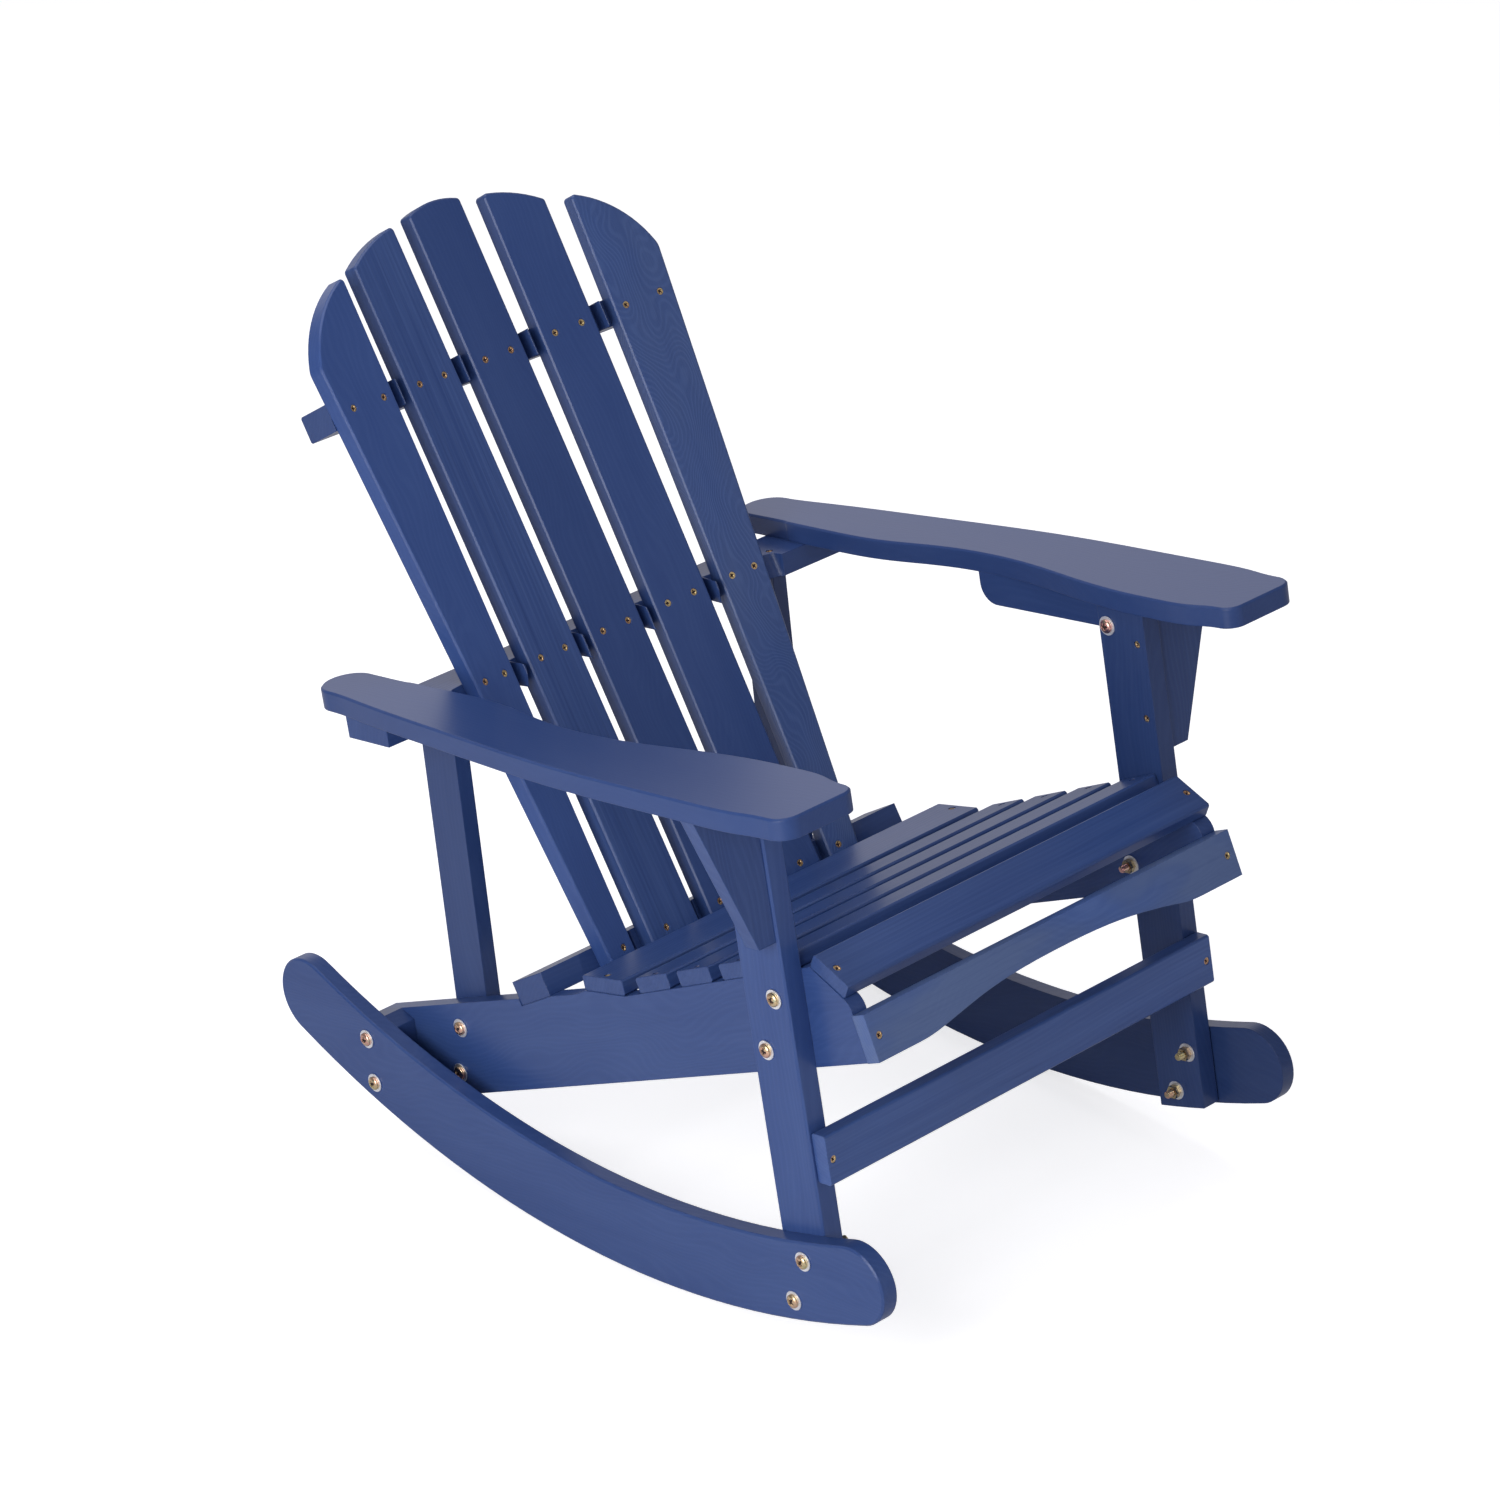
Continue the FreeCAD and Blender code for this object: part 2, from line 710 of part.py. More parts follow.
def add_bolt(spot, head_x, nut_x, board_names):
    """A bolt on the left side, with a washer under head and nut, and its mirrored twin."""
    way = vec(1 if nut_x > head_x else -1, 0, 0)
    seat = vec(head_x, *spot)
    grip = abs(nut_x - head_x)
    nut_low = grip + washer_thick
    tip = nut_low + nut_height + bolt_tail
    head_low = -washer_thick - bolt_head_height
    shoulder = head_low + bolt_head_height * bolt_crown_share
    crown_dia = bolt_head_dia * bolt_crown_share
    crown = taper(crown_dia, bolt_head_dia, head_sides, head_low, shoulder)
    rim = prism(bolt_head_dia, head_sides, shoulder, -washer_thick)
    shank = prism(bolt_dia, shank_sides, -washer_thick, tip)
    hole = prism(bolt_dia + hole_clearance, shank_sides, head_low, tip)
    thread = prism(bolt_dia + thread_clearance, shank_sides, 0, tip)
    washers = [
        prism(washer_dia, head_sides, -washer_thick, 0).cut(hole),
        prism(washer_dia, head_sides, grip, nut_low).cut(hole),
    ]
    nut = prism(nut_flats, shank_sides, nut_low, nut_low + nut_height).cut(thread)
    made = [("frame_bolts", crown.fuse([rim, shank]).removeSplitter()), ("bolt_nuts", nut)]
    made += [("bolt_washers", washer) for washer in washers]
    for name, solid in made:
        stood = stand_at(solid, seat, way)
        pieces.setdefault(name, []).extend([stood, mirrored(stood)])
    bore = stand_at(hole, seat, way)
    for name in board_names:
        cutters[name + "_left"].append(bore)
        cutters[name + "_right"].append(mirrored(bore))


def screw_form(length, slack, head_top):
    head_low = screw_recess + screw_head_height
    head = prism(screw_head_dia + slack, head_sides, head_top, head_low)
    shank = prism(screw_dia + slack, shank_sides, head_low, length + slack)
    return head.fuse(shank)


def add_screw(surface_point, inward, board_names, length=screw_length):
    """A wood screw sunk just below a board's face, driven inward from a point on the face."""
    way = vec(*inward).normalize()
    screw = stand_at(screw_form(length, 0, screw_recess), surface_point, way)
    pieces.setdefault("wood_screws", []).append(screw)
    cut_from(board_names, stand_at(screw_form(length, screw_clearance, -1), surface_point, way))


def build_bolts():
    for spot in rocker_leg_bolts:
        add_bolt(spot, rocker_outer_x, leg_inner_x, ["rocker", "front_leg"])
    for spot in leg_rail_bolts:
        add_bolt(spot, rocker_inner_x, rail_inner_x, ["front_leg", "side_rail"])
    for spot in spacer_bolts:
        add_bolt(spot, rocker_outer_x, rail_inner_x, ["rocker", "rear_spacer", "side_rail"])
    for spot in rail_post_bolts:
        add_bolt(spot, leg_inner_x, post_inner_x, ["side_rail", "rear_post"])
    add_bolt(arm_bolt, leg_inner_x, rocker_outer_x, ["front_leg", "arm_cleat"])


def build_screws():
    rail_x = (leg_inner_x + rail_inner_x) / 2
    leg_x = (rocker_inner_x + leg_inner_x) / 2
    back_corner = side_point(seat_back_y, seat_back_z)
    heel_corner = side_point(seat_heel_y, seat_heel_z)
    crest = side_point(crest_y, crest_z)
    forward = (crest - back_corner).normalize()
    facet = math.radians(front_slat_deg)
    down = vec(0, -math.cos(facet), -math.sin(facet))
    heel = back_corner - heel_corner
    spots = [("seat_slat_rear", heel_corner + heel * 0.5, heel.normalize())]
    for index in range(middle_slats):
        middle = slat_first + index * slat_pitch + slat_width / 2
        spots.append(("seat_slat_%d" % (index + 2), back_corner + forward * middle, forward))
    spots.append(("seat_slat_front", crest + down * (front_slat_width / 2), down))
    corner, up, out = apron_frame()
    for side, sign in (("_left", 1), ("_right", -1)):
        for name, spot, along in spots:
            normal = vec(0, along.z, -along.y)
            surface = spot + normal * seat_thick + vec(sign * rail_x, 0, 0)
            add_screw(surface, normal * -1, [name, "side_rail" + side], seat_screw_length)
        apron_spot = corner + up * (apron_height / 2) + out * apron_thick + vec(sign * rail_x, 0, 0)
        add_screw(apron_spot, out * -1, ["front_apron", "side_rail" + side])
        stretcher_spot = vec(sign * leg_x, -board, stretcher_low_z + stretcher_height / 2)
        add_screw(stretcher_spot, vec(0, 1, 0), ["front_stretcher", "front_leg" + side])
        bracket_y = bracket_setback + board / 2
        for z in bracket_screw_z:
            bracket_spot = vec(sign * leg_inner_x, bracket_y, z)
            boards = ["front_leg" + side, "arm_bracket" + side]
            add_screw(bracket_spot, vec(sign, 0, 0), boards, bracket_screw_length)
        for y in beam_screw_y:
            post_spot = vec(sign * (rail_inner_x - beam_screw_inset), y, arm_under_z)
            boards = ["arm_cross_beam", "rear_post" + side]
            add_screw(post_spot, vec(0, 0, -1), boards, beam_screw_length)
    rows = [
        (top_rail_low + top_rail_thick / 2, top_rail_spread, "top_back_rail"),
        (0, beam_spread, "arm_cross_beam"),
        (lower_rail_low + lower_rail_thick / 2, lower_rail_spread, "lower_back_rail"),
    ]
    middle_slat = len(slat_foot)
    for along, spreads, carrier in rows:
        for rank, spread in enumerate(spreads):
            for offset in spread:
                spot = slat_point(rank, slat_middle(rank, along) + offset, along)
                inward = slat_point(rank, slat_middle(rank, along) + offset, along, -1) - spot
                add_screw(spot, inward, ["back_slat_%d" % (middle_slat + rank), carrier])
                if rank:
                    twin = vec(-spot.x, spot.y, spot.z)
                    twin_inward = vec(-inward.x, inward.y, inward.z)
                    add_screw(twin, twin_inward, ["back_slat_%d" % (middle_slat - rank), carrier])


def build_all():
    build_side_frame()
    build_seat()
    build_apron()
    build_stretcher()
    build_beam()
    build_back()
    build_arms()
    build_arm_supports()
    build_bolts()
    build_screws()
    for name, tools in cutters.items():
        if tools:
            pieces[name] = [pieces[name][0].cut(tools)]


def rest_angle(solids_by_name):
    """The lean at which the centre of weight hangs straight below the rocker arc's centre."""
    fasteners = ("frame_bolts", "bolt_nuts", "bolt_washers", "wood_screws")
    weight = 0.0
    moment = vec(0, 0, 0)
    for name, solids in solids_by_name.items():
        density = STEEL_DENSITY if name in fasteners else WOOD_DENSITY
        for shape in solids:
            for solid in shape.Solids:
                weight += density * solid.Volume
                moment += solid.CenterOfMass * (density * solid.Volume)
    hang = moment * (1 / weight) - arc_centre
    return math.degrees(math.atan2(hang.y, -hang.z))


def place_and_save():
    lean = rest_angle(pieces)
    compounds = {}
    for name, shapes in pieces.items():
        solids = [solid for shape in shapes for solid in shape.Solids]
        compound = Part.makeCompound(solids) if len(solids) > 1 else solids[0]
        compound.rotate(arc_centre, vec(1, 0, 0), -lean)
        compounds[name] = compound
    box = Part.makeCompound(list(compounds.values())).optimalBoundingBox(False, False)
    lowest = rocker_centre_z - rocker_radius
    shift = vec(0, -(box.YMin + box.YMax) / 2, -lowest)
    for name, compound in compounds.items():
        compound.translate(shift)
        compound.exportStep("parts/%s.step" % name)
    print("rest lean %.2f degrees, shift %.2f %.2f" % (lean, shift.y, shift.z))
    print("size %.1f x %.1f x %.1f" % (box.XLength, box.YLength, box.ZLength))


os.makedirs("parts", exist_ok=True)
build_all()
place_and_save()
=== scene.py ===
import math

import bmesh
import bpy
from mathutils import Matrix, Vector


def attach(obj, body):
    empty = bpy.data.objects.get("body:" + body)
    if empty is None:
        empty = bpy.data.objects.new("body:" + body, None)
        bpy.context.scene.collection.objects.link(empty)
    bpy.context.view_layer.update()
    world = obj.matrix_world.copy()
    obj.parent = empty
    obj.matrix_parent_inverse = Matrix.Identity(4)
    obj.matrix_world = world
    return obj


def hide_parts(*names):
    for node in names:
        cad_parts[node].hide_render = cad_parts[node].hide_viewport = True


# Sizes are in metres and angles in radians, apart from SENSOR_MM.
# The chair's own frame stands with the front legs upright. The camera was placed in that frame,
# so it leans back with the chair by the same angle about the rocker arc's centre.
LEAN = math.radians(9.37)
ARC_Y = 0.2125
ARC_Z = 1.1386
SHIFT_Y = -0.2225
SHIFT_Z = 0.0041

# Camera
AZIMUTH = math.radians(-39.763)
ELEVATION = math.radians(19.990)
ROLL = math.radians(-8.814)
CAMERA_PLACE = (-3.3144, -3.6440, 2.3475)
FOCAL_PIXELS = 5266.14
PHOTO_PIXELS = 1500
SENSOR_MM = 36
CLIP_END = 100

# Paint, with each colour as red, green, blue and opacity
NAVY = (0.026, 0.058, 0.195, 1)
NAVY_WORN = (0.060, 0.108, 0.280, 1)
NAVY_DEEP = (0.016, 0.036, 0.130, 1)
# The pale colour of the spots, partly chalky paint and partly a painted sheen
NAVY_CHALK_SHEEN = (0.120, 0.170, 0.300, 1)
PAINT_SPECULAR = 0.36
PAINT_ROUGHNESS = 0.29
# What wear of 1 adds to the roughness
WORN_ROUGHNESS = 0.10
RING_RELIEF = 0.5
FIBRE_RELIEF = 0.5
BUMP_DEPTH = 0.00035
BUMP_STRENGTH = 0.55
EDGE_RADIUS = 0.0014
EDGE_SAMPLES = 6

# Grain. Each noise is given by how fine it is along, across and through the board.
FIBRE = (7, 520, 520)
STREAK = (3, 90, 90)
PATCH = (6, 16, 16)
DRIFT = (1, 9, 9)
DRIFT_PER_SWAY = 14
RING_PITCH = 0.0062
RING_SLANT = 0.6
FULL_TURN = 6.283
# How far each next board lies along, across and through the same timber
SEED_STEPS = (1.37, 0.61, 0.23)
# How much rings, streaks and patches of strength 1 wear the paint, and the wear that makes it
# all worn
RING_WEAR = 0.35
STREAK_WEAR = 0.30
PATCH_WEAR = 0.45
FULL_WEAR = 1.2
# How much of the deep colour fibres of strength 1 bring
FIBRE_SHARE = 0.35
# Pale spots, partly chalky paint and partly a painted sheen, show on boards whose patches are stronger
# than the start below
CHALK_SHEEN_START = 0.6
CHALK_SHEEN_SHARE = 0.42

# Metals
ZINC_GOLD = (0.72, 0.58, 0.30, 1)
ZINC_PINK = (0.78, 0.40, 0.36, 1)
ZINC_GREEN = (0.50, 0.50, 0.32, 1)
BRASS = (0.72, 0.56, 0.28, 1)
COPPER = (0.58, 0.34, 0.20, 1)
WASHER_LIGHT = (0.97, 0.97, 0.98, 1)
WASHER_GREY = (0.86, 0.86, 0.90, 1)
NUT_GOLD = (0.60, 0.50, 0.28, 1)
NUT_BROWN = (0.42, 0.30, 0.20, 1)
# Colour painted into the cross recesses as shade
RECESS_SHADE = (0.030, 0.016, 0.020, 1)

# Bolts, with the radius of the shank at its thread's crests, its grooves and its tip
BOLT_SIDES = 40
BOLT_SPIN = 0.9
BOLT_HEAD = 0.0045
BOLT_HEAD_RADIUS = 0.0075
BOLT_HEAD_RIM = 0.0011
BOLT_RADIUS = 0.0040
THREAD_RUN = 0.014
THREAD_PITCH = 0.00125
THREAD_GROOVE_RADIUS = 0.0035
THREAD_END_RADIUS = 0.0036
BOLT_TIP_RADIUS = 0.0030
BOLT_TIP = 0.0003
# Where in each turn of the thread the crest ends and the groove is deepest
THREAD_CREST = 0.35
THREAD_GROOVE = 0.85
BOLT_RECESS = {"half_width": 0.0014, "reach": 0.0046, "depth": 0.0022, "start": BOLT_HEAD_RIM}
# The dome is steep but not upright at its edge, and below it the rim narrows to the seat
DOME_STEPS = 14
DOME_FULLNESS = 0.985
RIM_LEVEL = 0.6
SEAT_WIDTH = 0.99

# Washers, whose upper face is rounded at the rim in two steps and whose lower face in one
WASHER_SIDES = 40
WASHER_RADIUS = 0.0105
WASHER_HOLE_RADIUS = 0.0042
WASHER_FACE_RADIUS = 0.0099
WASHER_STEP_RADIUS = 0.0103
WASHER_STEP_DROP = 0.0002
WASHER_RIM_DROP = 0.0006
WASHER_FOOT_RADIUS = 0.0102
WASHER_FOOT_RISE = 0.0004

# Screws
SCREW_SIDES = 32
SCREW_SPIN = 1.7
SCREW_HEAD_RADIUS = 0.0038
SCREW_HEAD_RIM = 0.0004
SCREW_HEAD = 0.0024
SCREW_RADIUS = 0.0020
SCREW_SHANK = 0.0200
SCREW_LENGTH = 0.0300
SCREW_RECESS = {"half_width": 0.00085, "reach": 0.0028, "depth": 0.0013, "start": 0.0}
HEAD_STEPS = 10
# Points this close to a CAD screw's end belong to its end ring, and this close to its top, its head
END_RING = 0.002
HEAD_RING = 0.001

# Cross recesses: how wide the cross is at its middle and how much of that it loses towards its
# ends, both against its half width, and how steep its walls and ends are
CROSS_WIDTH = 1.15
CROSS_TAPER = 0.5
CROSS_WALL = 2
CROSS_END = 3

# The fasteners are smooth but for edges that turn by more than this
SHARP_ANGLE = math.radians(38)

# Floor. Its glow makes it white to the camera and leaves a faint shadow under the chair.
FLOOR_REACH = 30
FLOOR_DROP = 0.0005
FLOOR_COLOUR = (0.72, 0.72, 0.74, 1)
FLOOR_ROUGHNESS = 0.9
FLOOR_GLOW = 0.67

# Lights, each with its place, size, watts and colour
LIGHT_TARGET = (0, 0, 0.45)
LIGHTS = {
    "key_left": ((-2.7, -0.9, 1.45), (2.0, 2.0), 67, (1.0, 0.985, 0.95)),
    "top": ((0.0, 0.8, 4.2), (3.0, 3.0), 60, (1.0, 1.0, 1.0)),
    "front_fill": ((0.6, -4.2, 1.8), (3.0, 2.4), 19, (1.0, 0.98, 0.93)),
}

# World, with its strength away from the white wall and on it, and the wall's direction. Its edge
# and its full part are cosines of the angle from that direction.
WHITE = (1, 1, 1, 1)
WORLD_COLOUR = (0.93, 0.92, 1.0, 1)
WORLD_DIM = 0.28
WORLD_WALL = 1.08
WALL_DIRECTION = (0.41, 0.88, 0.26)
WALL_EDGE = 0.8
WALL_FULL = 0.99

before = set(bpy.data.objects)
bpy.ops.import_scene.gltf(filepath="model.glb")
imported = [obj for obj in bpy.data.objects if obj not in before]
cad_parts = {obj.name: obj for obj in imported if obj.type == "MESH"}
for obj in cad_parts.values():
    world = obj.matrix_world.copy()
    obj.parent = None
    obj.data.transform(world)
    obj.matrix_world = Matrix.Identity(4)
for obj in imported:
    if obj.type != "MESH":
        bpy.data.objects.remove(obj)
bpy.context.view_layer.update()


def lean_direction(x, y, z):
    cosine = math.cos(LEAN)
    sine = math.sin(LEAN)
    return Vector((x, y * cosine + z * sine, z * cosine - y * sine))


def lean_point(x, y, z):
    turned = lean_direction(x, y - ARC_Y, z - ARC_Z)
    return turned + Vector((0, ARC_Y + SHIFT_Y, ARC_Z + SHIFT_Z))


def add_camera():
    ahead = Vector((
        -math.sin(AZIMUTH) * math.cos(ELEVATION),
        math.cos(AZIMUTH) * math.cos(ELEVATION),
        -math.sin(ELEVATION),
    ))
    level = Vector((math.cos(AZIMUTH), math.sin(AZIMUTH), 0))
    upright = level.cross(ahead)
    right = level * math.cos(ROLL) + upright * math.sin(ROLL)
    up = upright * math.cos(ROLL) - level * math.sin(ROLL)
    columns = [lean_direction(*axis) for axis in (right, up, -ahead)]
    data = bpy.data.cameras.new("camera")
    data.sensor_width = SENSOR_MM
    data.lens = FOCAL_PIXELS / PHOTO_PIXELS * data.sensor_width
    data.clip_end = CLIP_END
    camera = bpy.data.objects.new("camera", data)
    bpy.context.scene.collection.objects.link(camera)
    turn = Matrix(columns).transposed().to_4x4()
    camera.matrix_world = Matrix.Translation(lean_point(*CAMERA_PLACE)) @ turn
    bpy.context.scene.camera = camera


# Materials
class Nodes:
    """Short forms for adding and joining the nodes of a material or a world."""

    def __init__(self, owner):
        owner.use_nodes = True
        self.owner = owner
        self.tree = owner.node_tree

    def add(self, kind, inputs=None, **settings):
        node = self.tree.nodes.new("ShaderNode" + kind)
        for key, value in settings.items():
            setattr(node, key, value)
        for key, value in (inputs or {}).items():
            self.join(value, node.inputs[key])
        return node

    def join(self, value, socket):
        """Another node's output is linked to the socket, and a plain value is set on it."""
        if isinstance(value, bpy.types.NodeSocket):
            self.tree.links.new(value, socket)
        else:
            socket.default_value = value

    def maths(self, operation, *values):
        node = self.add("Math", dict(enumerate(values)), operation=operation)
        return node.outputs[0]

    def line(self, start, slope, value):
        """The start plus the slope times the value."""
        return self.maths("ADD", start, self.maths("MULTIPLY", value, slope))

    def weighted(self, first, *others):
        """The sum of (value, weight) pairs."""
        total = self.maths("MULTIPLY", *first)
        for value, weight in others:
            total = self.line(total, weight, value)
        return total

    def dot(self, place, way):
        node = self.add("VectorMath", {0: place, 1: tuple(way)}, operation="DOT_PRODUCT")
        return node.outputs["Value"]

    def noise(self, place, scale, detail):
        node = self.add("TexNoise", {"Vector": place, "Scale": scale, "Detail": detail})
        return node.outputs[0]

    def ramp(self, value, low, high):
        """A value between low and high as 0 to 1."""
        node = self.add("MapRange", {"Value": value, "From Min": low, "From Max": high})
        return node.outputs["Result"]

    def mix(self, share, first, second):
        """A colour that turns from the first into the second with the share."""
        # Of this node's sockets, 6, 7 and output 2 are the ones for colours
        node = self.add("Mix", {"Factor": share, 6: first, 7: second}, data_type="RGBA")
        return node.outputs[2]


class Material(Nodes):
    """A material's nodes round its own shader."""

    def __init__(self, name):
        super().__init__(bpy.data.materials.new(name))
        self.shader = self.tree.nodes["Principled BSDF"]

    def give(self, socket_name, value):
        self.join(value, self.shader.inputs[socket_name])


# Scales a colour by a piece's factor, which carries painted shade and painted light as well as the
# board's own tone
def lifted(tint, tone_and_painted_light):
    return (*(part * tone_and_painted_light for part in tint[:3]), 1)


def place_in_board(paint, along, across, seed):
    """How far a spot lies along, across and through its board's timber."""
    along = Vector(along).normalized()
    across = Vector(across).normalized()
    place = paint.add("TexCoord").outputs["Object"]
    spots = [paint.dot(place, axis) for axis in (along, across, along.cross(across))]
    return [paint.maths("ADD", spot, seed * step) for spot, step in zip(spots, SEED_STEPS)]


def board_noise(paint, spots, fineness, detail):
    scaled = [paint.maths("MULTIPLY", spot, fine) for spot, fine in zip(spots, fineness)]
    place = paint.add("CombineXYZ", dict(enumerate(scaled))).outputs[0]
    return paint.noise(place, scale=1.0, detail=detail)


def year_rings(paint, spots, sway):
    """Rings that run along the board and sway from side to side."""
    along, across, through = DRIFT
    drift = board_noise(paint, spots, (along + DRIFT_PER_SWAY * sway, across, through), detail=2.0)
    swayed = paint.maths("MULTIPLY", paint.maths("SUBTRACT", drift, 0.5), sway)
    slanted = paint.line(spots[1], RING_SLANT, spots[2])
    turned = paint.maths("MULTIPLY", paint.maths("ADD", slanted, swayed), FULL_TURN / RING_PITCH)
    return paint.ramp(paint.maths("SINE", turned), low=-0.3, high=1.0)


def painted_wood(name, along, across, seed, rings, fibres, patches, sway, tone_and_painted_light):
    """Satin paint over planed pine. The grain runs along one direction of the board."""
    paint = Material(name)
    spots = place_in_board(paint, along, across, seed)
    ring = year_rings(paint, spots, sway)
    fibre = board_noise(paint, spots, FIBRE, detail=3.0)
    streak = board_noise(paint, spots, STREAK, detail=4.0)
    patch = board_noise(paint, spots, PATCH, detail=3.0)
    wear = paint.weighted(
        (ring, RING_WEAR * rings),
        (paint.ramp(streak, low=0.35, high=0.75), STREAK_WEAR * fibres),
        (paint.ramp(patch, low=0.42, high=0.72), PATCH_WEAR * patches),
    )
    worn = paint.ramp(wear, low=0.0, high=FULL_WEAR)
    # The paint colours are scaled by the piece's factor: painted shade on far-side boards, painted
    # light on some front boards, and the board's own tone
    colour = paint.mix(worn, lifted(NAVY, tone_and_painted_light), lifted(NAVY_WORN, tone_and_painted_light))
    # Pale spots on strongly patched boards: partly chalky paint, partly painted sheen standing in for
    # light that their rough faces mirror
    chalk_sheen = CHALK_SHEEN_SHARE * max(0.0, patches - CHALK_SHEEN_START)
    chalk_sheen_share = paint.maths("MULTIPLY", paint.ramp(patch, low=0.63, high=0.37), chalk_sheen)
    colour = paint.mix(chalk_sheen_share, colour, NAVY_CHALK_SHEEN)
    fine = paint.maths("MULTIPLY", paint.ramp(fibre, low=0.5, high=0.85), FIBRE_SHARE * fibres)
    colour = paint.mix(fine, colour, lifted(NAVY_DEEP, tone_and_painted_light))
    paint.give("Base Color", colour)
    paint.give("Roughness", paint.line(PAINT_ROUGHNESS, WORN_ROUGHNESS, wear))
    paint.give("Specular IOR Level", PAINT_SPECULAR)
    height = paint.weighted((ring, RING_RELIEF * rings), (fibre, FIBRE_RELIEF * fibres))
    rounded = paint.add("Bevel", {"Radius": EDGE_RADIUS}, samples=EDGE_SAMPLES).outputs[0]
    relief = {"Height": height, "Distance": BUMP_DEPTH, "Strength": BUMP_STRENGTH, "Normal": rounded}
    paint.give("Normal", paint.add("Bump", relief).outputs[0])
    return paint.owner


def spotted(metal, first, second):
    """A colour with soft spots of a second one, and the share of the second."""
    place = metal.add("TexCoord").outputs["Object"]
    share = metal.ramp(metal.noise(place, scale=90.0, detail=3.0), low=0.35, high=0.65)
    return metal.mix(share, first, second), share


def plain_metal(name, first, second, roughness):
    metal = Material(name)
    colour, share = spotted(metal, first, second)
    metal.give("Base Color", colour)
    metal.give("Roughness", metal.line(start=roughness, slope=0.12, value=share))
    metal.give("Metallic", 1.0)
    return metal.owner


def give_recess_shade(metal, colour, roughness):
    """Makes the metal dark and dull inside a cross recess; the dark colour is painted shade."""
    sunk = metal.add("Attribute", attribute_name="recess").outputs["Fac"]
    recess_shade = metal.ramp(sunk, low=0.15, high=0.8)
    metal.give("Base Color", metal.mix(recess_shade, colour, RECESS_SHADE))
    metal.give("Metallic", metal.line(start=1.0, slope=-0.9, value=recess_shade))
    metal.give("Roughness", metal.line(start=roughness, slope=0.6, value=recess_shade))


def metal_of_screws():
    """Brass with copper spots."""
    metal = Material("screw_brass")
    colour, _ = spotted(metal, BRASS, COPPER)
    give_recess_shade(metal, colour, roughness=0.3)
    return metal.owner


def metal_of_bolts():
    """Yellow zinc whose tint runs from gold through pink to green from bolt to bolt."""
    metal = Material("bolt_zinc")
    place = metal.add("TexCoord").outputs["Object"]
    gold = metal.ramp(metal.noise(place, scale=24.0, detail=1.0), low=0.38, high=0.62)
    green = metal.ramp(metal.noise(place, scale=260.0, detail=2.0), low=0.5, high=0.7)
    colour = metal.mix(green, metal.mix(gold, ZINC_PINK, ZINC_GOLD), ZINC_GREEN)
    give_recess_shade(metal, colour, roughness=0.24)
    return metal.owner


LEG_UP = lean_direction(0, 0, 1)
REARWARD = lean_direction(0, 1, 0)
RAIL_ANGLE = math.radians(15.66)
RAIL_ALONG = lean_direction(0, math.cos(RAIL_ANGLE), -math.sin(RAIL_ANGLE))
RAIL_UP = lean_direction(0, math.sin(RAIL_ANGLE), math.cos(RAIL_ANGLE))
BACK_ANGLE = math.radians(23.2)
BACK_UP = lean_direction(0, math.sin(BACK_ANGLE), math.cos(BACK_ANGLE))
ACROSS = Vector((1, 0, 0))

# Piece name start: grain direction, direction across the face, rings, fibres, patches, sway of the
# rings, and a factor on the paint colour. That factor is the board's own tone together with painted
# shade, which darkens the far, left-hand pieces, and painted light, which brightens the front apron,
# the front stretcher and the first back slat
GRAIN = {
    "rocker_left": (REARWARD, LEG_UP, 0.35, 0.5, 0.5, 0.16, 0.65),
    "rocker_right": (REARWARD, LEG_UP, 0.35, 0.5, 0.5, 0.16, 1.02),
    "front_leg_left": (LEG_UP, REARWARD, 0.4, 0.6, 0.5, 0.1, 0.75),
    "front_leg_right": (LEG_UP, REARWARD, 0.4, 0.6, 0.5, 0.1, 1.08),
    "rear_post": (LEG_UP, REARWARD, 0.3, 0.5, 0.4, 0.1, 0.8),
    "rear_spacer": (RAIL_ALONG, RAIL_UP, 0.3, 0.5, 0.4, 0.1, 0.8),
    "side_rail": (RAIL_ALONG, RAIL_UP, 0.4, 0.5, 0.5, 0.16, 1.0),
    "arm_left": (REARWARD, ACROSS, 0.15, 0.25, 0.25, 0.16, 0.88),
    "arm_right": (REARWARD, ACROSS, 0.15, 0.25, 0.25, 0.16, 0.92),
    "arm_bracket_left": (LEG_UP, ACROSS, 0.6, 0.9, 0.5, 0.1, 0.8),
    "arm_bracket_right": (LEG_UP, ACROSS, 0.6, 0.9, 0.5, 0.1, 1.0),
    "arm_cleat": (REARWARD, LEG_UP, 0.3, 0.4, 0.4, 0.1, 0.9),
    "arm_cross_beam": (ACROSS, REARWARD, 0.3, 0.5, 0.4, 0.1, 0.95),
    "seat_slat": (ACROSS, REARWARD, 0.35, 1.2, 0.4, 0.08, 0.95),
    "front_apron": (ACROSS, LEG_UP, 0.5, 0.7, 2.0, 0.2, 1.3),
    "front_stretcher": (ACROSS, LEG_UP, 0.4, 1.3, 0.9, 0.08, 1.25),
    "top_back_rail": (ACROSS, REARWARD, 0.3, 0.5, 0.4, 0.1, 0.9),
    "lower_back_rail": (ACROSS, REARWARD, 0.3, 0.5, 0.4, 0.1, 0.9),
    "back_slat_1": (BACK_UP, ACROSS, 0.3, 0.4, 0.35, 0.16, 1.2),
    "back_slat_2": (BACK_UP, ACROSS, 0.6, 1.7, 0.35, 0.03, 1.0),
    "back_slat_3": (BACK_UP, ACROSS, 0.25, 0.4, 0.3, 0.16, 0.9),
    "back_slat_4": (BACK_UP, ACROSS, 0.25, 0.4, 0.4, 0.16, 0.96),
    "back_slat_5": (BACK_UP, ACROSS, 0.9, 0.7, 1.0, 0.30, 1.0),
}


